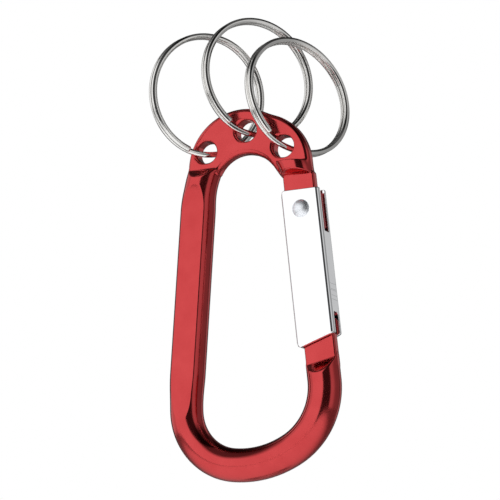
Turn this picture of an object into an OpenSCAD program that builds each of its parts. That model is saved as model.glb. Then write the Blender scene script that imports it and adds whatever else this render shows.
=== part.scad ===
// Carabiner keyring: a bent rod clip with a sprung gate and three split rings.
// X runs across the clip, Y through its thickness (the front faces -Y), Z along its length.
// The origin is inside the loop, level with the middle of the gate, in the clip's middle plane.

/* [Frame rod] */
// Radius of the round rod
rod_r = 3.55; // [3.3:0.05:3.7]
// Radius of the straight spine, a little wider because it is pressed flat
spine_r = 3.8; // [3.7:0.05:3.9]
// Half the thickness of the spine across its two pressed flats
spine_flat_h = 2.8; // [2.6:0.05:3.0]

/* [Ring plate] */
// Thickness of the top, pressed flat to carry the rings
plate_t = 3.5; // [3.2:0.1:3.6]
// Diameter of each ring hole
hole_d = 4.8; // [4.8:0.05:4.9]

/* [Gate] */
// Length of the gate's front cheek above the pivot
gate_up = 4.6; // [4.4:0.1:4.8]
// Length of the gate's inner edge below the pivot
gate_down = 29.45; // [29:0.05:29.8]
// Half the width of the gate
gate_hw = 4.32; // [4.25:0.01:4.35]
// Thickness of the gate across both cheeks
gate_t = 5.3; // [5.2:0.05:5.5]
// Thickness of the gate's sheet
sheet = 1.0; // [0.95:0.01:1.02]
// Angle between the closed gate and the spine
gate_tilt = 9.9; // [9.8:0.1:10]

/* [Tongue and nose] */
// Thickness of the flat tongue and the flat nose
tongue_t = 2.3; // [2.1:0.05:2.4]
// Radius of the hinge rivet's shank
shank_r = 1.1; // [1:0.05:1.2]

/* [Split rings] */
// Outer diameter of a split ring
ring_od = 27.2; // [26.6:0.1:27.4]
// Radial width of the ring wire
wire_w = 1.25; // [1.1:0.05:1.25]
// Axial height of the ring wire
wire_h = 1.08; // [0.9:0.02:1.1]

/* [Hidden] */
$fn = 64;

// hinge pivot in the X-Z plane
pivot = [11.53, 19.1];
// ring holes in the X-Z plane
holes = [[-11.61, 31.98], [-2.59, 36.48], [6.27, 32.85]];
// inner opening of the plate
arch_c = [-2.15, 24.45];
arch_r = 7.05;
// the plate's two outline circles: [centre x, centre z, radius]
out_l = [-3.33, 28.9, 12.6];
out_r = [0.56, 28.33, 11.9];
plate_edge = 0.8;
// width of the easing at each ring hole's mouth
mouth = 0.6;

// centre line of the rod as arcs: [centre x, centre z, radius, start angle, end angle]
spine_x = -13.45;
spine_top = 20.5;
spine_bot = -18;
arc_top = [spine_x + 25, spine_top, 25, 161, 180];
arc_a = [spine_x + 60, spine_bot, 60, 180, 185.8];
arc_b = [arc_a[0] - 47.9 * cos(5.8), arc_a[1] - 47.9 * sin(5.8), 12.1, 185.8, 268];
arc_c = [arc_b[0] - 10.1 * cos(268), arc_b[1] - 10.1 * sin(268), 22.2, 268, 303.7];
arc_d = [arc_c[0] + 7.54 * cos(303.7), arc_c[1] + 7.54 * sin(303.7), 14.66, 303.7, 370];
arc_e = [-0.31, 24.58, 10, 11, 34];
function arc_end(a, t) = [a[0] + a[2] * cos(t), a[1] + a[2] * sin(t)];

// where the gate and the steps of the frame lie, along the gate from the pivot
nose_tip = -23.35;
nose_step = -32.4;
rod_end = -36.2;
rod_off = 0.13;
tongue_l = -3.95;
tongue_r = 3.1;
tongue_end = -4.4;
slot_hw = 1.3;
heel_seat = -10.9;
spring_x = -2.1;
shank_gap = 0.06;

// stand a drawing made in the X-Y plane up in the X-Z plane, front towards -Y
module upright() rotate([90, 0, 0]) children();

// one bent length of the rod
module bend(a, r = rod_r)
    translate([a[0], 0, a[1]]) upright() rotate([0, 0, a[3]])
        rotate_extrude(angle = a[4] - a[3]) translate([a[2], 0]) circle(r);

// a slightly fuller ball where two lengths of the rod meet
module joint_ball(a, t) {
    p = arc_end(a, t);
    translate([p[0], 0, p[1]]) sphere(r = rod_r + 0.04);
}

// the gate's own frame: origin at the pivot, +z up along the gate, +x outward
module gate_frame() translate([pivot[0], 0, pivot[1]]) rotate([0, -gate_tilt, 0]) children();

// disc with eased edges, lying in the X-Z plane
module eased_disc(x, z, r, t, e)
    translate([x, 0, z]) upright() rotate_extrude($fn = 96)
        polygon([[0, -t / 2], [r - e, -t / 2], [r - e * 0.3, -t / 2 + e * 0.8], [r, -t / 2 + e * 2],
                 [r, t / 2 - e * 2], [r - e * 0.3, t / 2 - e * 0.8], [r - e, t / 2], [0, t / 2]]);

// flat top of the frame, which carries the rings
module plate() difference() {
    union() {
        eased_disc(out_l[0], out_l[1], out_l[2], plate_t, plate_edge);
        eased_disc(out_r[0], out_r[1], out_r[2], plate_t, plate_edge);
    }
    // the space inside the loop
    translate([arch_c[0], 0, arch_c[1]]) upright() cylinder(r = arch_r, h = 20, center = true, $fn = 96);
    for (s = [-1, 1])
        translate([arch_c[0], s * (plate_t / 2 + 0.01), arch_c[1]]) rotate([s * 90, 0, 0])
            translate([0, 0, -0.01]) cylinder(r1 = arch_r + 0.5, r2 = arch_r - 0.3, h = 0.95, $fn = 96);
    inner_flare();
    // keep only what lies above the two shoulders
    translate([-30, -10, -10]) cube([31, 20, 37.2]);
    translate([0, -10, -10]) cube([30, 20, 38.6]);
}

// where the inner edge of the plate runs off the arch and down to the hinge tongue
flare = [[-0.4, 31.15], [1.5, 30.5], [2.5, 29.98], [3.3, 29.35], [4.05, 28.6], [5.25, 27.1], [6.4, 25.7]];
module inner_flare() upright() linear_extrude(height = 12, center = true)
    polygon(concat(flare, [[5.4, 24.6], [-0.4, 24.6]]));
module web() difference() {
    upright() linear_extrude(height = plate_t, center = true)
        polygon([[3, 29.6], [4.05, 28.6], [5.25, 27.1], [6.4, 25.7], [9, 25.7], [9, 29.6]]);
    for (s = [-1, 1]) translate([5.25, s * plate_t / 2, 27.1]) rotate([0, 50.6, 0]) rotate([45, 0, 0])
        cube([12, 0.9, 0.9], center = true);
}

// straight spine
module spine() {
    translate([spine_x, 0, spine_bot]) cylinder(r = spine_r, h = spine_top - spine_bot);
    translate([spine_x, 0, spine_bot - 1.5]) cylinder(r1 = rod_r + 0.12, r2 = spine_r, h = 1.5);
    translate([spine_x, 0, spine_top]) cylinder(r1 = spine_r, r2 = rod_r + 0.12, h = 1.5);
}

// tools that press the spine's two flats, running out slowly at both ends
module spine_press() {
    for (s = [-1, 1])
        scale([1, s, 1]) rotate([90, 0, 90]) translate([0, 0, -30]) linear_extrude(height = 22)
            polygon([[spine_flat_h, spine_bot - 2.8], [spine_flat_h, spine_top - 0.3], [spine_flat_h + 0.2, spine_top + 2.2],
                     [spine_flat_h + 0.65, spine_top + 4.1], [spine_flat_h + 1.5, spine_top + 6], [8, spine_top + 6],
                     [8, spine_bot - 9], [spine_flat_h + 1.5, spine_bot - 9], [spine_flat_h + 0.65, spine_bot - 7],
                     [spine_flat_h + 0.2, spine_bot - 5.1]]);
}

// tools that press one side of the rod flat, leaving a steep ramp
module nose_press(s) gate_frame() translate([0.4, 0, nose_step]) rotate([0, -8.3, 0])
    scale([1, s, 1]) rotate([90, 0, 90]) translate([0, 0, -8]) linear_extrude(height = 16)
        polygon([[tongue_t / 2, 0], [rod_r + 0.2, -2.75], [8, -2.75], [8, 22], [tongue_t / 2, 22]]);
module tongue_press(s)
    scale([1, s, 1]) rotate([90, 0, 90]) linear_extrude(height = 20)
        polygon([[tongue_t / 2, 26.7], [rod_r + 0.2, 27.75], [8, 27.75], [8, 10], [tongue_t / 2, 10]]);

// the spine's shoulder under the plate, a ramp on both faces
module shoulder_left() translate([-12, 0, 28.15]) rotate([0, -5.2, 0]) rotate([90, 0, 90])
    linear_extrude(height = 40, center = true)
        polygon([[-plate_t / 2, 0], [plate_t / 2, 0], [5, plate_t / 2 - 5], [5, 12], [-5, 12], [-5, plate_t / 2 - 5]]);

module frame_body() color([0.80, 0.24, 0.27]) difference() {
    union() {
        plate();
        // the spine and its bends, with the two flats pressed into them
        difference() {
            union() {
                spine();
                bend(arc_top);
                bend(arc_a);
                bend(arc_b);
                joint_ball(arc_a, 185.8);
            }
            spine_press();
            shoulder_left();
        }
        bend(arc_c);
        bend(arc_d);
        joint_ball(arc_b, 268);
        joint_ball(arc_c, 303.7);
        joint_ball(arc_d, 370);
        difference() {
            gate_frame() translate([rod_off, 0, rod_end]) cylinder(r = rod_r, h = nose_step + 0.7 - rod_end);
            nose_press(-1);
            nose_press(1);
        }
        gate_frame() difference() {
            translate([-3.27, -tongue_t / 2, rod_end + 2]) cube([6.94, tongue_t, nose_tip - rod_end - 2]);
            // eased corners of the nose's tip
            for (s = [-1, 1])
                translate([0.2 + s * 3.47, 0, nose_tip]) rotate([0, 45, 0]) cube([1.4, 5, 1.4], center = true);
        }
        difference() {
            union() {
                bend(arc_e);
                web();
            }
            translate([8, 0, 29.55]) rotate([0, -3.4, 0]) translate([-18, -10, 0]) cube([40, 20, 20]);
            tongue_press(-1);
            tongue_press(1);
        }
        gate_frame() difference() {
            translate([tongue_l, -tongue_t / 2, tongue_end]) cube([tongue_r - tongue_l, tongue_t, 8.4 - tongue_end]);
            for (x = [tongue_l, tongue_r])
                translate([x, 0, tongue_end]) rotate([0, 45, 0]) cube([1.2, 5, 1.2], center = true);
        }
    }
    // ring holes, with eased mouths
    for (h = holes) translate([h[0], 0, h[1]]) {
        upright() cylinder(d = hole_d, h = 10, center = true);
        for (s = [-1, 1])
            translate([0, s * (plate_t / 2 + 0.01), 0]) rotate([s * 90, 0, 0]) translate([0, 0, -0.01])
                cylinder(r1 = hole_d / 2 + mouth, r2 = hole_d / 2 - 0.2, h = mouth * 1.4);
    }
    // hinge hole in the tongue
    translate([pivot[0], 0, pivot[1]]) upright() cylinder(r = shank_r + shank_gap, h = 10, center = true);
}

// outline of the folded gate, seen from its end
module gate_outline(hw, ht, r) {
    square([2 * hw - 2 * r, 2 * ht], center = true);
    square([2 * hw, 2 * ht - 2 * r], center = true);
    for (x = [-1, 1], y = [-1, 1]) translate([x * (hw - r), y * (ht - r)]) circle(r, $fn = 48);
}

// rounds one corner of both cheeks; sx, sz say which corner
module cheek_corner(x, z, sx, sz, r)
    translate([x, 0, z]) difference() {
        translate([sx > 0 ? 0 : -3, -6, sz > 0 ? 0 : -3]) cube([3, 12, 3]);
        upright() cylinder(r = r, h = 14, center = true, $fn = 48);
    }

module gate() color([0.86, 0.87, 0.89]) gate_frame() difference() {
    union() {
        difference() {
            translate([0, 0, -31]) linear_extrude(height = 37) gate_outline(gate_hw, gate_t / 2, 0.9);
            translate([sheet - gate_hw, sheet - gate_t / 2, -32]) cube([2 * (gate_hw - sheet), gate_t - 2 * sheet, 40]);
        }
        // tab that the spring stands on
        translate([sheet - gate_hw - 0.2, 0.8 - gate_t / 2, heel_seat - 0.8]) cube([2.4, gate_t - 1.6, 0.8]);
    }
    // trimmed ends
    translate([-gate_hw, 0, gate_up]) rotate([0, 4, 0]) translate([-5, -10, 0]) cube([20, 20, 10]);
    translate([-gate_hw, 0, -gate_down]) rotate([0, -15.1, 0]) translate([-5, -10, -10]) cube([20, 20, 10]);
    cheek_corner(1.1 - gate_hw, gate_up - 1.15, -1, 1, 1.1);
    cheek_corner(1 - gate_hw, 1.2 - gate_down, -1, -1, 1);
    // inner wall left out round the tongue
    translate([-8, sheet - gate_t / 2, -5.4]) cube([8, gate_t - 2 * sheet, 20]);
    // slots in the outer wall for the tongue and the nose
    translate([1, -slot_hw, -5.3]) cube([8, 2 * slot_hw, 20]);
    translate([1, -slot_hw, -42.6]) cube([8, 2 * slot_hw, 20]);
    // hinge hole through both cheeks
    upright() cylinder(r = shank_r + 0.02, h = 10, center = true);
}

module hinge_rivet() color([0.80, 0.82, 0.86]) translate([pivot[0], 0, pivot[1]]) {
    upright() cylinder(r = shank_r, h = gate_t, center = true);
    // domed heads on both cheeks
    for (s = [-1, 1]) rotate([s * 90, 0, 0]) translate([0, 0, gate_t / 2]) difference() {
        translate([0, 0, -1.812]) sphere(r = 2.662);
        translate([-4, -4, -8]) cube([8, 8, 8]);
    }
}

// wire swept along a list of frames: each frame is [centre, across, along the axis]
function sweep_pts(frames, prof) = [for (f = frames) for (p = prof) f[0] + p[0] * f[1] + p[1] * f[2]];
function sweep_faces(n, m) = concat(
    [[for (j = [m - 1:-1:0]) j]],
    [for (i = [0:n - 2]) for (j = [0:m - 1]) [(i + 1) * m + j, i * m + j, (i + 1) * m + (j + 1) % m]],
    [for (i = [0:n - 2]) for (j = [0:m - 1]) [(i + 1) * m + (j + 1) % m, i * m + j, i * m + (j + 1) % m]],
    [[for (j = [0:m - 1]) (n - 1) * m + j]]);

// compression coil between the tongue's heel and the gate's tab
coil_r = 0.76;
coil_w = 0.19;
coil_n = 7;
coil_steps = 98;
coil_lo = heel_seat + coil_w + 0.03;
coil_hi = tongue_end - coil_w - 0.03;
module gate_spring() color([0.62, 0.64, 0.68]) gate_frame() translate([spring_x, 0, 0]) {
    frames = [for (i = [0:coil_steps]) let (a = 360 * coil_n * i / coil_steps, u = i / coil_steps)
        [[coil_r * cos(a), coil_r * sin(a), coil_lo + (coil_hi - coil_lo) * u], [cos(a), sin(a), 0], [0, 0, 1]]];
    prof = [for (k = [0:7]) coil_w * [cos(45 * k), sin(45 * k)]];
    polyhedron(points = sweep_pts(frames, prof), faces = sweep_faces(coil_steps + 1, 8), convexity = 10);
}

// Split ring: two flat turns of wire side by side. Only one wire runs through the plate's hole.
// c is the ring's centre, n its axis, d the direction from the hole to the centre.
ring_r = (ring_od - wire_w) / 2;
lay = wire_h + 0.04;
gap_half = 22.5;
ring_steps = 90;
function unit(v) = v / norm(v);
function ease(t) = t * t * (3 - 2 * t);
function layer(a) = a < 360 - gap_half ? -0.5 : (a > 360 + gap_half ? 0.5 : ease((a - 360 + gap_half) / (2 * gap_half)) - 0.5);
module split_ring(c, n, d) {
    e3 = unit(n);
    e1 = -unit(d - (d * e3) * e3);
    e2 = cross(e3, e1);
    hw = wire_w / 2;
    hh = wire_h / 2;
    k = 0.2;
    frames = [for (i = [0:ring_steps]) let (a = gap_half + (720 - 2 * gap_half) * i / ring_steps, r = cos(a) * e1 + sin(a) * e2)
        [c + ring_r * r + lay * layer(a) * e3, r, e3]];
    prof = [[hw, hh - k], [hw - k, hh], [k - hw, hh], [-hw, hh - k], [-hw, k - hh], [k - hw, -hh], [hw - k, -hh], [hw, k - hh]];
    polyhedron(points = sweep_pts(frames, prof), faces = sweep_faces(ring_steps + 1, 8), convexity = 10);
}

ring_c = [[-12.38, -1.36, 44.66], [-2.31, 2.41, 48.92], [6.43, 4.62, 45.02]];
ring_n = [[0.778, -0.63, -0.025], [0.798, -0.597, 0.1], [0.838, -0.505, 0.2]];
module ring_at(i) color([0.78, 0.78, 0.76])
    split_ring(ring_c[i], ring_n[i], ring_c[i] - [holes[i][0], 0, holes[i][1]]);
module split_ring_left() ring_at(0);
module split_ring_middle() ring_at(1);
module split_ring_right() ring_at(2);

frame_body();
gate();
hinge_rivet();
gate_spring();
split_ring_left();
split_ring_middle();
split_ring_right();
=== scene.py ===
import math
import bpy
import numpy as np
from mathutils import Matrix, Vector


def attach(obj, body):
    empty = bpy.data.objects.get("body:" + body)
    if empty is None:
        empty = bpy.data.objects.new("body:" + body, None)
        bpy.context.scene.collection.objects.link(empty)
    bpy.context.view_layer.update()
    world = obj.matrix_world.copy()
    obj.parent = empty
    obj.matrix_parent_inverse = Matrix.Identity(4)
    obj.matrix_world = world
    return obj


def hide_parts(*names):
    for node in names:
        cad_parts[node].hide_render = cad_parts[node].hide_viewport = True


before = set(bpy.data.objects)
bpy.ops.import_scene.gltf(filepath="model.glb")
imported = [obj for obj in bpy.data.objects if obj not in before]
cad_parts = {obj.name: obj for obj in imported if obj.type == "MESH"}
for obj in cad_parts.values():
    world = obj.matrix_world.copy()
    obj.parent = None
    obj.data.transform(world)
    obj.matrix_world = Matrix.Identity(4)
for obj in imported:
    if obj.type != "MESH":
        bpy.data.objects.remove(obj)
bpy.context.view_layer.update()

MM = 0.001

# ---------------------------------------------------------------- geometry shared with the CAD, in mm
PIVOT = (11.53, 19.1)
TILT = math.radians(9.9)
HOLES = [(-11.61, 31.98), (-2.59, 36.48), (6.27, 32.85)]
ARCH = (-2.15, 24.45, 7.05)
OUT_L = (-3.33, 28.9, 12.6)
OUT_R = (0.56, 28.33, 11.9)
ROD_R = 3.545
SPINE_R = 3.8
PLATE_H = 1.75
TONGUE_H = 1.15
SPX = -13.45
RAD = math.radians


def arcs():
    a = (SPX + 60, -18.0, 60.0, 180.0, 185.8)
    c, s = math.cos(RAD(5.8)), math.sin(RAD(5.8))
    b = (a[0] - 47.9 * c, a[1] - 47.9 * s, 12.1, 185.8, 268.0)
    c, s = math.cos(RAD(268)), math.sin(RAD(268))
    cc = (b[0] - 10.1 * c, b[1] - 10.1 * s, 22.2, 268.0, 303.7)
    c, s = math.cos(RAD(303.7)), math.sin(RAD(303.7))
    d = (cc[0] + 7.54 * c, cc[1] + 7.54 * s, 14.66, 303.7, 370.0)
    return a, b, cc, d


ARC_A, ARC_B, ARC_C, ARC_D = arcs()
ARC_TOP = (SPX + 25, 20.5, 25.0, 161.0, 180.0)
ARC_E = (-0.31, 24.58, 10.0, 11.0, 36.0)


def gate_local(x, z):
    """Row X, Z to the gate's own across and along."""
    dx, dz = x - PIVOT[0], z - PIVOT[1]
    c, s = math.cos(TILT), math.sin(TILT)
    return dx * c + dz * s, -dx * s + dz * c


def gate_row(x, z):
    c, s = math.cos(TILT), math.sin(TILT)
    return PIVOT[0] + x * c - z * s, PIVOT[1] + x * s + z * c


# ---------------------------------------------------------------- distance fields
def smax(a, b, k):
    h = np.clip(0.5 + 0.5 * (a - b) / k, 0, 1)
    return b + (a - b) * h + k * h * (1 - h)


def smin(a, b, k):
    return -smax(-a, -b, k)


def d_arc(x, z, arc):
    cx, cz, r, a0, a1 = arc
    mid, half = RAD((a0 + a1) / 2), RAD((a1 - a0) / 2)
    px, pz = x - cx, z - cz
    u = px * math.cos(mid) + pz * math.sin(mid)
    v = np.abs(-px * math.sin(mid) + pz * math.cos(mid))
    ring = np.abs(np.hypot(u, v) - r)
    ex, ez = r * math.cos(half), r * math.sin(half)
    inside = v * math.cos(half) <= u * math.sin(half)
    return np.where(inside, ring, np.hypot(u - ex, v - ez))


def d_seg(x, z, p, q):
    dx, dz = q[0] - p[0], q[1] - p[1]
    t = np.clip(((x - p[0]) * dx + (z - p[1]) * dz) / (dx * dx + dz * dz), 0, 1)
    return np.hypot(x - p[0] - t * dx, z - p[1] - t * dz)


def d_box2(u, v, hu, hv, r):
    qu, qv = np.abs(u) - hu + r, np.abs(v) - hv + r
    return np.minimum(np.maximum(qu, qv), 0) + np.hypot(np.maximum(qu, 0), np.maximum(qv, 0)) - r


def rounded_and(a, b, r):
    """Where both are inside, with the edge rounded to radius r."""
    qa, qb = a + r, b + r
    return np.minimum(np.maximum(qa, qb), 0) + np.hypot(np.maximum(qa, 0), np.maximum(qb, 0)) - r


def smooth(t):
    t = np.clip(t, 0, 1)
    return t * t * (3 - 2 * t)


FLARE = [(-0.4, 31.15), (1.5, 30.5), (2.5, 29.98), (3.3, 29.35), (4.05, 28.6), (5.25, 27.1), (6.4, 25.7), (5.4, 24.6), (-0.4, 24.6)]


def d_poly(x, z, pts):
    """Signed distance to a closed outline."""
    d = np.full(np.shape(x), 1e9)
    s = np.ones(np.shape(x))
    for i in range(len(pts)):
        a, b = pts[i], pts[i - 1]
        ex, ez = b[0] - a[0], b[1] - a[1]
        wx, wz = x - a[0], z - a[1]
        t = np.clip((wx * ex + wz * ez) / (ex * ex + ez * ez), 0, 1)
        d = np.minimum(d, (wx - ex * t) ** 2 + (wz - ez * t) ** 2)
        c1, c2, c3 = z >= a[1], z < b[1], ex * wz > ez * wx
        s = np.where((c1 & c2 & c3) | (~c1 & ~c2 & ~c3), -s, s)
    return s * np.sqrt(d)


def frame_field(x, y, z):
    ay = np.abs(y)
    gx, gz = gate_local(x, z)
    # round rod: spine, lower bends and the nose's root
    path = d_seg(x, z, (SPX, -18.0), (SPX, 20.5))
    for a in (ARC_A, ARC_B, ARC_C, ARC_D, ARC_TOP):
        path = np.minimum(path, d_arc(x, z, a))
    root0 = gate_row(0.13, -36.2)
    root1 = gate_row(0.13, -30.0)
    path = np.minimum(path, d_seg(x, z, root0, root1))
    wide = smooth((z + 23.0) / 7.0) * smooth((25.0 - z) / 6.0) * (x < 0)
    rad = ROD_R + (SPINE_R - ROD_R) * wide
    rod = np.hypot(path, ay) - rad
    # the spine's two pressed flats run out slowly into the round
    over = np.maximum(0, z - 20.0)
    under = np.maximum(0, -20.8 - z)
    press = ay - (2.8 + 0.031 * over * over + 0.031 * under * under)
    press = np.where(x < -6, press, -9.0)
    rod = smax(rod, press, 0.10)
    # ramped shoulder where the spine meets the ring plate
    ramp_l = 0.707 * (z - 28.15 - 0.09 * (x + 12)) + 0.707 * (ay - PLATE_H)
    ramp_l = np.where(x < 2, ramp_l, -9.0)
    rod = np.where(z > 10, smax(rod, ramp_l, 0.25), rod)
    # nose: pressed flat with a steep ramp
    ramp = (ay - TONGUE_H) * 0.727 - (-32.4 + 0.146 * (gx - 0.4) - gz) * 0.687
    near_nose = (x > 8) & (z < -4)
    rod = np.where(near_nose, smax(rod, ramp, 0.3), rod)
    nose = rounded_and(d_box2(gx - 0.2, gz + 28.9, 3.47, 5.55, 0.9), ay - TONGUE_H, 0.5)
    # upper rod and the hinge tongue
    tramp = (ay - TONGUE_H) * 0.33 - (z - 26.75 - 0.06 * (x - 9.5)) * 0.944
    up = np.hypot(d_arc(x, z, ARC_E), ay) - ROD_R
    up = smax(up, (z - 29.55) - 0.06 * (x - 8), 0.2)
    up = smax(up, tramp, 0.3)
    tongue = rounded_and(d_box2(gx + 0.425, gz - 1.95, 3.525, 6.35, 0.9), ay - TONGUE_H, 0.5)
    body = smin(rod, nose, 0.25)
    body = smin(body, smin(up, tongue, 0.25), 0.3)
    # ring plate: rod pressed flat, so its edges bulge
    out = smin(np.hypot(x - OUT_L[0], z - OUT_L[1]) - OUT_L[2], np.hypot(x - OUT_R[0], z - OUT_R[1]) - OUT_R[2], 0.4)
    opening = smin(np.hypot(x - ARCH[0], z - ARCH[1]) - ARCH[2], d_poly(x, z, FLARE), 0.4)
    low = np.where(x < 0.5, 27.0 - z, 25.9 - z)
    outline = smax(smax(out, -opening, 0.2), low, 0.2)
    plate = rounded_and(outline, ay - PLATE_H, 1.2)
    plate = np.where(x > 2, smax(plate, tramp, 0.3), plate)
    body = smin(body, plate, 0.3)
    for hx, hz in HOLES:
        rho = np.hypot(x - hx, z - hz)
        # the mouth is eased more where the ring bears on it: front left and back right
        bears = smooth(np.sign(y) * (x - hx) / 2.4 + 0.05)
        body = smax(body, 2.4 - rho, 0.5 + 0.62 * bears)
    rho = np.hypot(x - PIVOT[0], z - PIVOT[1])
    return smax(body, 1.17 - rho, 0.1)


def gate_field(gx, y, gz):
    """Folded sheet gate, in its own frame."""
    ay = np.abs(y)
    outer = d_box2(gx, y, 4.32, 2.65, 0.9)
    inner = d_box2(gx, y, 3.32, 1.65, 0.25)
    top = (gz - 4.6 + math.tan(RAD(4)) * (gx + 4.32)) * math.cos(RAD(4))
    bot = (-gz - 29.45 + math.tan(RAD(15.1)) * (gx + 4.32)) * math.cos(RAD(15.1))
    ends = smax(top, bot, 0.1)
    # rounded free corners of the cheeks on the loop's side
    for cz, s, r in ((4.6 - 1.2, 1, 1.15), (-29.45 + 1.3, -1, 1.05)):
        cx = -4.32 + r
        corner = np.where((gx < cx) & (s * (gz - cz) > 0), np.hypot(gx - cx, gz - cz) - r, -9.0)
        ends = np.maximum(ends, corner)
    d = rounded_and(outer, ends, 0.3)
    d = smax(d, -inner, 0.12)
    # inner wall left out round the tongue, with a round end
    cut = smax(smax(ay - 1.65, -5.4 - gz, 0.3), gx + 2.9, 0.05)
    d = smax(d, -cut, 0.14)
    # slots in the outer wall
    s1 = smax(smax(ay - 1.3, -5.3 - gz, 0.35), 1.0 - gx, 0.05)
    s2 = smax(smax(ay - 1.3, gz + 22.6, 0.7), 1.0 - gx, 0.05)
    d = smax(d, -s1, 0.14)
    d = smax(d, -s2, 0.14)
    d = smax(d, 1.1 - np.hypot(gx, gz), 0.05)
    tab = np.maximum(np.maximum(np.abs(gx + 2.2) - 1.2, ay - 1.75), np.abs(gz + 11.3) - 0.4)
    return np.minimum(d, tab)


def surface_net(field, lo, hi, h):
    """Closed quad mesh of field = 0, with its vertices put back on the surface and normals from the field."""
    n = [int(math.ceil((hi[i] - lo[i]) / h)) + 1 for i in range(3)]
    ax = [lo[i] + h * np.arange(n[i]) for i in range(3)]
    grid = np.empty(n, np.float32)
    step = 24
    for i in range(0, n[0], step):
        gx, gy, gz = np.meshgrid(ax[0][i:i + step], ax[1], ax[2], indexing="ij")
        grid[i:i + step] = field(gx, gy, gz)
    neg = grid < 0
    total = np.zeros([m - 1 for m in n] + [3], np.float32)
    count = np.zeros([m - 1 for m in n], np.float32)
    for axis in range(3):
        a = [slice(None)] * 3
        b = [slice(None)] * 3
        a[axis], b[axis] = slice(0, -1), slice(1, None)
        fa, fb = grid[tuple(a)], grid[tuple(b)]
        cross = neg[tuple(a)] != neg[tuple(b)]
        t = np.where(cross, fa / np.where(cross, fa - fb, 1), 0)
        o = [i for i in range(3) if i != axis]
        for da in (0, 1):
            for db in (0, 1):
                sl = [slice(None)] * 3
                sl[o[0]] = slice(da, da + n[o[0]] - 1)
                sl[o[1]] = slice(db, db + n[o[1]] - 1)
                c = cross[tuple(sl)]
                count += c
                total[..., axis] += np.where(c, t[tuple(sl)], 0)
                total[..., o[0]] += c * da
                total[..., o[1]] += c * db
    cells = np.argwhere(count > 0)
    index = -np.ones(count.shape, np.int64)
    index[tuple(cells.T)] = np.arange(len(cells))
    pos = total[tuple(cells.T)] / count[tuple(cells.T)][:, None]
    v = np.array(lo) + h * (cells + pos)
    faces = []
    for axis in range(3):
        a = [slice(None)] * 3
        b = [slice(None)] * 3
        a[axis], b[axis] = slice(0, -1), slice(1, None)
        cross = neg[tuple(a)] != neg[tuple(b)]
        e = np.argwhere(cross)
        o = [(axis + 1) % 3, (axis + 2) % 3]
        e = e[(e[:, o[0]] > 0) & (e[:, o[1]] > 0)]
        inside = neg[tuple(e.T)]
        q = []
        for da, db in ((1, 1), (0, 1), (0, 0), (1, 0)):
            c = e.copy()
            c[:, o[0]] -= da
            c[:, o[1]] -= db
            q.append(index[tuple(c.T)])
        q = np.stack(q, 1)
        q[~inside] = q[~inside][:, ::-1]
        faces.append(q)
    faces = np.concatenate(faces)
    f = lambda p: field(p[:, 0], p[:, 1], p[:, 2])
    eps = 1e-3

    def grad(p):
        g = np.empty_like(p)
        for i in range(3):
            d = np.zeros(3)
            d[i] = eps
            g[:, i] = (f(p + d) - f(p - d)) / (2 * eps)
        return g

    for _ in range(5):
        g = grad(v)
        move = (f(v) / np.maximum((g * g).sum(1), 0.2))[:, None] * g
        size = np.linalg.norm(move, axis=1, keepdims=True)
        v = v - move * np.minimum(1, 0.35 * h / np.maximum(size, 1e-9))
    g = grad(v)
    g /= np.maximum(np.linalg.norm(g, axis=1, keepdims=True), 1e-9)
    return v, faces, g


def make_object(name, verts_mm, faces, normals=None, body=None, node=None, material=None):
    mesh = bpy.data.meshes.new(name)
    nv, nf = len(verts_mm), len(faces)
    if isinstance(faces, np.ndarray) and faces.shape[1] == 4:
        mesh.vertices.add(nv)
        mesh.vertices.foreach_set("co", (np.asarray(verts_mm) * MM).astype(np.float32).ravel())
        mesh.loops.add(nf * 4)
        mesh.loops.foreach_set("vertex_index", faces.astype(np.int32).ravel())
        mesh.polygons.add(nf)
        mesh.polygons.foreach_set("loop_start", (np.arange(nf) * 4).astype(np.int32))
        mesh.update(calc_edges=True)
    else:
        mesh.from_pydata([tuple(float(c) * MM for c in p) for p in verts_mm], [], [tuple(int(i) for i in f) for f in faces])
    mesh.validate()
    mesh.polygons.foreach_set("use_smooth", np.ones(len(mesh.polygons), bool))
    obj = bpy.data.objects.new(name, mesh)
    bpy.context.scene.collection.objects.link(obj)
    if normals is not None and len(mesh.vertices) == nv:
        mesh.normals_split_custom_set_from_vertices([tuple(n) for n in normals])
    if material:
        mesh.materials.append(material)
    if body:
        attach(obj, body)
    if node:
        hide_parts(node)
    return obj


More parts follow.
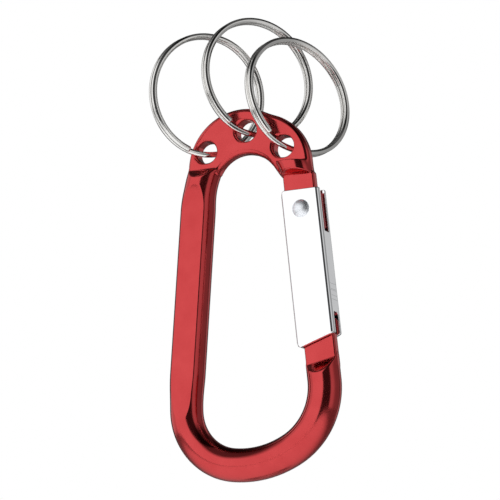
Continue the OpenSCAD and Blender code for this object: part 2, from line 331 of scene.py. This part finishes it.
# ---------------------------------------------------------------- materials
class Nodes:
    def __init__(self, name):
        self.mat = bpy.data.materials.new(name)
        self.mat.use_nodes = True
        self.nt = self.mat.node_tree
        self.bsdf = self.nt.nodes["Principled BSDF"]
        self.coord = self.nt.nodes.new("ShaderNodeTexCoord").outputs["Object"]

    def node(self, kind, **inputs):
        n = self.nt.nodes.new(kind)
        for k, v in inputs.items():
            n.inputs[k.replace("_", " ")].default_value = v
        return n

    def link(self, a, b):
        self.nt.links.new(a, b)

    def noise(self, scale, detail=4.0, rough=0.55, stretch=None):
        src = self.coord
        if stretch:
            m = self.nt.nodes.new("ShaderNodeMapping")
            m.inputs["Scale"].default_value = stretch
            self.link(src, m.inputs["Vector"])
            src = m.outputs["Vector"]
        n = self.node("ShaderNodeTexNoise", Scale=scale, Detail=detail, Roughness=rough)
        self.link(src, n.inputs["Vector"])
        return n.outputs["Fac"]

    def ramp(self, fac, stops):
        r = self.nt.nodes.new("ShaderNodeValToRGB")
        els = r.color_ramp.elements
        els[0].position, els[0].color = stops[0][0], (*stops[0][1], 1)
        els[1].position, els[1].color = stops[-1][0], (*stops[-1][1], 1)
        for p, c in stops[1:-1]:
            e = els.new(p)
            e.color = (*c, 1)
        self.link(fac, r.inputs["Fac"])
        return r.outputs["Color"]

    def rng(self, fac, a, b, lo=0.0, hi=1.0):
        m = self.node("ShaderNodeMapRange")
        m.inputs["From Min"].default_value = lo
        m.inputs["From Max"].default_value = hi
        m.inputs["To Min"].default_value = a
        m.inputs["To Max"].default_value = b
        self.link(fac, m.inputs["Value"])
        return m.outputs["Result"]

    def math(self, op, a, b):
        m = self.nt.nodes.new("ShaderNodeMath")
        m.operation = op
        for i, v in enumerate((a, b)):
            if isinstance(v, (int, float)):
                m.inputs[i].default_value = v
            else:
                self.link(v, m.inputs[i])
        return m.outputs["Value"]

    def mix(self, fac, a, b):
        m = self.nt.nodes.new("ShaderNodeMix")
        m.data_type = "RGBA"
        self.link(fac, m.inputs["Factor"])
        for i, v in ((6, a), (7, b)):
            if isinstance(v, tuple):
                m.inputs[i].default_value = (*v, 1)
            else:
                self.link(v, m.inputs[i])
        return m.outputs[2]

    def bump(self, height, strength, distance):
        b = self.node("ShaderNodeBump", Strength=strength, Distance=distance)
        self.link(height, b.inputs["Height"])
        self.link(b.outputs["Normal"], self.bsdf.inputs["Normal"])

    def set(self, **kw):
        for k, v in kw.items():
            self.bsdf.inputs[k.replace("_", " ")].default_value = v


def anodised():
    m = Nodes("red_anodised_aluminium")
    m.set(Metallic=1.0)
    cloud = m.noise(230.0, 4.0)
    grain = m.noise(5200.0, 2.0, 0.6)
    base = m.ramp(cloud, [(0.28, (0.525, 0.053, 0.056)), (0.72, (0.585, 0.066, 0.069))])
    m.link(base, m.bsdf.inputs["Base Color"])
    smear = m.noise(140.0, 3.0, 0.5, (1.0, 1.0, 0.25))
    rough = m.math("ADD", m.rng(smear, 0.11, 0.17, 0.3, 0.7), m.rng(grain, 0.0, 0.04, 0.3, 0.7))
    m.link(rough, m.bsdf.inputs["Roughness"])
    mottle = m.noise(1500.0, 1.0, 0.4)
    m.bump(mottle, 0.25, 0.00001)
    return m.mat


def plated(name, lo, hi, rough_lo, rough_hi, scratch=0.15):
    m = Nodes(name)
    m.set(Metallic=1.0)
    cloud = m.noise(300.0, 3.0)
    m.link(m.ramp(cloud, [(0.3, lo), (0.7, hi)]), m.bsdf.inputs["Base Color"])
    hair = m.noise(700.0, 4.0, 0.6, (1.0, 1.0, 0.08))
    swell = m.noise(170.0, 1.0, 0.4)
    fine = m.noise(1500.0, 2.0)
    m.link(m.math("ADD", m.rng(hair, rough_lo, rough_hi, 0.35, 0.7), m.rng(fine, 0.0, 0.02, 0.3, 0.7)), m.bsdf.inputs["Roughness"])
    m.bump(swell, scratch, 0.0002)
    return m.mat


RED = anodised()
CHROME = plated("gate_plating", (0.91, 0.92, 0.94), (0.94, 0.95, 0.96), 0.02, 0.06)
NICKEL = plated("ring_plating", (0.80, 0.79, 0.77), (0.87, 0.86, 0.84), 0.05, 0.10)
RIVET = plated("rivet_steel_polished", (0.82, 0.85, 0.90), (0.88, 0.90, 0.94), 0.36, 0.46, 0.3)
WIRE = plated("spring_wire", (0.50, 0.51, 0.53), (0.60, 0.61, 0.63), 0.22, 0.34, 0.2)

# ---------------------------------------------------------------- pieces
v, f, n = surface_net(frame_field, (-18.2, -4.3, -39.4), (22.6, 4.3, 42.2), 0.2)
make_object("clip_body", v, f, n, "frame", "frame_body", RED)

v, f, n = surface_net(gate_field, (-4.7, -2.95, -29.9), (4.7, 2.95, 5.1), 0.11)
gx, gz = gate_row(v[:, 0], v[:, 2])
nx = n[:, 0] * math.cos(TILT) - n[:, 2] * math.sin(TILT)
nz = n[:, 0] * math.sin(TILT) + n[:, 2] * math.cos(TILT)
make_object("gate_shell", np.stack([gx, v[:, 1], gz], 1), f, np.stack([nx, n[:, 1], nz], 1), "gate", "gate", CHROME)


def lathe(profile, steps, origin):
    """Turned piece about the Y axis through origin (X, Z): profile is (radius, y)."""
    verts, faces = [], []
    for r, y in profile:
        if r < 1e-6:
            verts.append([(origin[0], y, origin[1])])
        else:
            verts.append([(origin[0] + r * math.cos(2 * math.pi * k / steps), y, origin[1] + r * math.sin(2 * math.pi * k / steps)) for k in range(steps)])
    flat, start = [], []
    for ring in verts:
        start.append(len(flat))
        flat += ring
    for i in range(len(verts) - 1):
        a, b = verts[i], verts[i + 1]
        for k in range(steps):
            k2 = (k + 1) % steps
            if len(a) == 1 and len(b) > 1:
                faces.append((start[i], start[i + 1] + k2, start[i + 1] + k))
            elif len(b) == 1 and len(a) > 1:
                faces.append((start[i] + k, start[i] + k2, start[i + 1]))
            elif len(a) > 1:
                faces.append((start[i] + k, start[i] + k2, start[i + 1] + k2, start[i + 1] + k))
    return flat, faces


# low domed heads, sphere of 2.66 mm, on both cheeks
prof = [(0.0, -3.49)]
edge = math.asin(1.94 / 2.662)
for k in range(1, 13):
    ang = edge * k / 12
    prof.append((2.662 * math.sin(ang), -2.65 + 1.812 - 2.652 * math.cos(ang)))
prof += [(1.945, -2.66), (1.92, -2.65), (1.1, -2.65), (1.1, -1.0), (1.1, 1.0), (1.1, 2.65), (1.92, 2.65), (1.945, 2.66)]
prof += [(r, -y) for r, y in reversed(prof[:13])]
vv, ff = lathe(prof, 64, PIVOT)
make_object("rivet_domed", vv, ff, None, "gate", "hinge_rivet", RIVET)


def sweep(frames, profile):
    """Tube with flat ends along frames of (centre, across, along the axis)."""
    m = len(profile)
    verts = [c + p[0] * a + p[1] * b for c, a, b in frames for p in profile]
    faces = []
    for i in range(len(frames) - 1):
        for j in range(m):
            k = (j + 1) % m
            faces.append((i * m + k, i * m + j, (i + 1) * m + j, (i + 1) * m + k))
    faces.append(tuple(range(m)))
    faces.append(tuple((len(frames) - 1) * m + j for j in reversed(range(m))))
    return verts, faces


def crowned_profile(hw, hh, tilt=24.0, chord=0.84):
    """Wire section rolled nearly flat: both sides slightly crowned, corners well rounded."""
    quarter, y, n = [(0.0, hh)], hh, 10
    for k in range(n):
        x0, x1 = hw * chord * k / n, hw * chord * (k + 1) / n
        y -= math.tan(RAD(tilt) * min(1.0, 0.5 * (x0 + x1) / (0.35 * hw))) * (x1 - x0)
        quarter.append((x1, y))
    w, y0 = hw * chord, y
    for k in range(1, 8):
        t = RAD(tilt + (90 - tilt) * k / 7)
        u = (math.sin(t) - math.sin(RAD(tilt))) / (1 - math.sin(RAD(tilt)))
        v = (math.cos(RAD(tilt)) - math.cos(t)) / math.cos(RAD(tilt))
        quarter.append((w + (hw - w) * u, y0 * (1 - v)))
    full = quarter + [(x, -y) for x, y in reversed(quarter[:-1])]
    full += [(-x, -y) for x, y in quarter[1:-1]] + [(-x, y) for x, y in reversed(quarter[1:])]
    return full[::-1]


RINGS = {
    "left": ((-12.38, -1.36, 44.66), (0.778, -0.63, -0.025), HOLES[0]),
    "middle": ((-2.31, 2.41, 48.92), (0.798, -0.597, 0.1), HOLES[1]),
    "right": ((6.43, 4.62, 45.02), (0.838, -0.505, 0.2), HOLES[2]),
}
RING_R = (27.2 - 1.25) / 2
LAY = 1.08 + 0.04
GAP = 22.5


def layer(a):
    if a < 360 - GAP:
        return -0.5
    if a > 360 + GAP:
        return 0.5
    t = (a - 360 + GAP) / (2 * GAP)
    return t * t * (3 - 2 * t) - 0.5


for key, (c, nrm, hole) in RINGS.items():
    c = np.array(c)
    e3 = np.array(nrm) / np.linalg.norm(nrm)
    d = c - np.array((hole[0], 0, hole[1]))
    e1 = -(d - (d @ e3) * e3)
    e1 /= np.linalg.norm(e1)
    e2 = np.cross(e3, e1)
    frames = []
    steps = 540
    span = 720 - 2 * GAP
    for i in range(steps + 1):
        a = GAP + span * i / steps
        r = math.cos(RAD(a)) * e1 + math.sin(RAD(a)) * e2
        frames.append((c + RING_R * r + LAY * layer(a) * e3, r, e3))
    # eased ends of the wire
    full = crowned_profile(0.625, 0.54)
    verts, faces = sweep(frames, full)
    m = len(full)
    for end, sgn in ((0, 1), (steps, -1)):
        cen = frames[end][0]
        for j in range(m):
            verts[end * m + j] = cen + (verts[end * m + j] - cen) * 0.86
    make_object("ring_" + key, verts, faces, None, "ring_" + key, "split_ring_" + key, NICKEL)

# compression spring between the tongue's heel and the tab
frames = []
steps = 7 * 28
lo_z, hi_z = -10.9 + 0.22, -4.4 - 0.22
for i in range(steps + 1):
    u = i / steps
    a = 2 * math.pi * 7 * u
    p = (-2.1 + 0.76 * math.cos(a), 0.76 * math.sin(a), lo_z + (hi_z - lo_z) * u)
    x, z = gate_row(p[0], p[2])
    ca, sa = math.cos(TILT), math.sin(TILT)
    frames.append((np.array((x, p[1], z)), np.array((math.cos(a) * ca, math.sin(a), math.cos(a) * sa)), np.array((-sa, 0, ca))))
verts, faces = sweep(frames, [(0.185 * math.cos(2 * math.pi * k / 10), 0.185 * math.sin(2 * math.pi * k / 10)) for k in range(10)])
make_object("spring_coil", verts, faces, None, "gate", "gate_spring", WIRE)

# ---------------------------------------------------------------- camera
FOCAL_PX, SCALE = 1927.0, 4.718
dist = FOCAL_PX / SCALE
dy = Vector((0.398, -0.164, -0.9026)).normalized()
rho = RAD(-0.52)
up = Vector((math.sin(rho), math.cos(rho), 0))
dz = (up - up.dot(dy) * dy).normalized()
dx = dy.cross(dz)
R = Matrix((dx, dy, dz))
origin_cam = Vector((0.0, -(300 - 250) / FOCAL_PX, -1.0)) * dist
eye = -(R @ origin_cam) * MM
cam = bpy.data.cameras.new("photo_camera")
cam.sensor_width = 36
cam.lens = FOCAL_PX / 500 * 36
cam.clip_start, cam.clip_end = 0.01, 20
cam_obj = bpy.data.objects.new("photo_camera", cam)
cam_obj.matrix_world = Matrix.Translation(eye) @ R.to_4x4()
bpy.context.scene.collection.objects.link(cam_obj)
bpy.context.scene.camera = cam_obj

# ---------------------------------------------------------------- floor, lights and the studio around the object
floor_mesh = bpy.data.meshes.new("floor")
s = 0.42
floor_mesh.from_pydata([(-s, -s, -0.11), (s, -s, -0.11), (s, s, -0.11), (-s, s, -0.11)], [], [(0, 1, 2, 3)])
floor = bpy.data.objects.new("floor", floor_mesh)
bpy.context.scene.collection.objects.link(floor)
fm = bpy.data.materials.new("floor_pale")
fm.use_nodes = True
fm.node_tree.nodes["Principled BSDF"].inputs["Base Color"].default_value = (0.85, 0.85, 0.85, 1)
fm.node_tree.nodes["Principled BSDF"].inputs["Roughness"].default_value = 0.8
floor_mesh.materials.append(fm)
# the metal mirrors the floor above; the camera sees this evenly lit one in the same place
floor.visible_camera = False
top_mesh = floor_mesh.copy()
top = bpy.data.objects.new("floor_lit", top_mesh)
top.location = (0, 0, -0.0002)
bpy.context.scene.collection.objects.link(top)
tm = bpy.data.materials.new("floor_pale_lit")
tm.use_nodes = True
tb = tm.node_tree.nodes["Principled BSDF"]
tb.inputs["Base Color"].default_value = (0.85, 0.85, 0.85, 1)
tb.inputs["Roughness"].default_value = 0.8
tb.inputs["Emission Color"].default_value = (1, 1, 1, 1)
tb.inputs["Emission Strength"].default_value = 0.55
top_mesh.materials.clear()
top_mesh.materials.append(tm)
top.visible_diffuse = top.visible_glossy = top.visible_transmission = top.visible_shadow = False

# a pool of light on the table in front of the object, which the metal mirrors
lamp = bpy.data.lights.new("table_lamp", "SPOT")
lamp.spot_size = RAD(48)
lamp.spot_blend = 0.6
lamp.shadow_soft_size = 0.04
lamp.energy = 22.0
lamp_obj = bpy.data.objects.new("table_lamp", lamp)
lamp_obj.location = (0.0, -0.20, 0.60)
lamp_obj.visible_glossy = False
bpy.context.scene.collection.objects.link(lamp_obj)

world = bpy.data.worlds.new("studio")
bpy.context.scene.world = world
world.use_nodes = True
wt = world.node_tree
for nd in list(wt.nodes):
    wt.nodes.remove(nd)
tc = wt.nodes.new("ShaderNodeTexCoord")
mp = wt.nodes.new("ShaderNodeVectorRotate")
mp.rotation_type = "Z_AXIS"
view_az = math.atan2((R @ Vector((0, 0, 1))).y, (R @ Vector((0, 0, 1))).x)
mp.inputs["Angle"].default_value = -view_az
wt.links.new(tc.outputs["Generated"], mp.inputs["Vector"])
gr = wt.nodes.new("ShaderNodeTexGradient")
gr.gradient_type = "RADIAL"
wt.links.new(mp.outputs["Vector"], gr.inputs["Vector"])
# turn from the camera's direction, right of it positive, over a whole turn from -180 to 180 degrees
cr = wt.nodes.new("ShaderNodeValToRGB")
wt.links.new(gr.outputs["Fac"], cr.inputs["Fac"])
stops = [(-180, 0.06), (-142, 0.06), (-134, 0.95), (-114, 0.85), (-94, 0.85), (-90, 1.12), (-17, 1.12), (-13, 0.05), (34, 0.05), (42, 0.70), (60, 0.62), (72, 0.36), (90, 0.30), (112, 0.30), (118, 0.12), (123, 0.12), (128, 0.58), (139, 0.55), (146, 0.12), (180, 0.08)]
els = cr.color_ramp.elements
for i, (deg, val) in enumerate(stops):
    p = (deg + 180) / 360
    if i < 2:
        e = els[i]
        e.position = p
    else:
        e = els.new(p)
    e.color = (val, val, val, 1)
# the ceiling is dark
sep = wt.nodes.new("ShaderNodeSeparateXYZ")
wt.links.new(tc.outputs["Generated"], sep.inputs["Vector"])
mr = wt.nodes.new("ShaderNodeMapRange")
mr.inputs["From Min"].default_value = 0.55
mr.inputs["From Max"].default_value = 0.75
mr.inputs["To Min"].default_value = 1.0
mr.inputs["To Max"].default_value = 0.12
wt.links.new(sep.outputs["Z"], mr.inputs["Value"])
bg_env = wt.nodes.new("ShaderNodeBackground")
wt.links.new(cr.outputs["Color"], bg_env.inputs["Color"])
wt.links.new(mr.outputs["Result"], bg_env.inputs["Strength"])
bg_cam = wt.nodes.new("ShaderNodeBackground")
bg_cam.inputs["Color"].default_value = (1, 1, 1, 1)
bg_cam.inputs["Strength"].default_value = 1.0
lp = wt.nodes.new("ShaderNodeLightPath")
mx = wt.nodes.new("ShaderNodeMixShader")
wt.links.new(lp.outputs["Is Camera Ray"], mx.inputs["Fac"])
wt.links.new(bg_env.outputs["Background"], mx.inputs[1])
wt.links.new(bg_cam.outputs["Background"], mx.inputs[2])
wo = wt.nodes.new("ShaderNodeOutputWorld")
wt.links.new(mx.outputs["Shader"], wo.inputs["Surface"])

bpy.context.scene.view_settings.view_transform = "Standard"
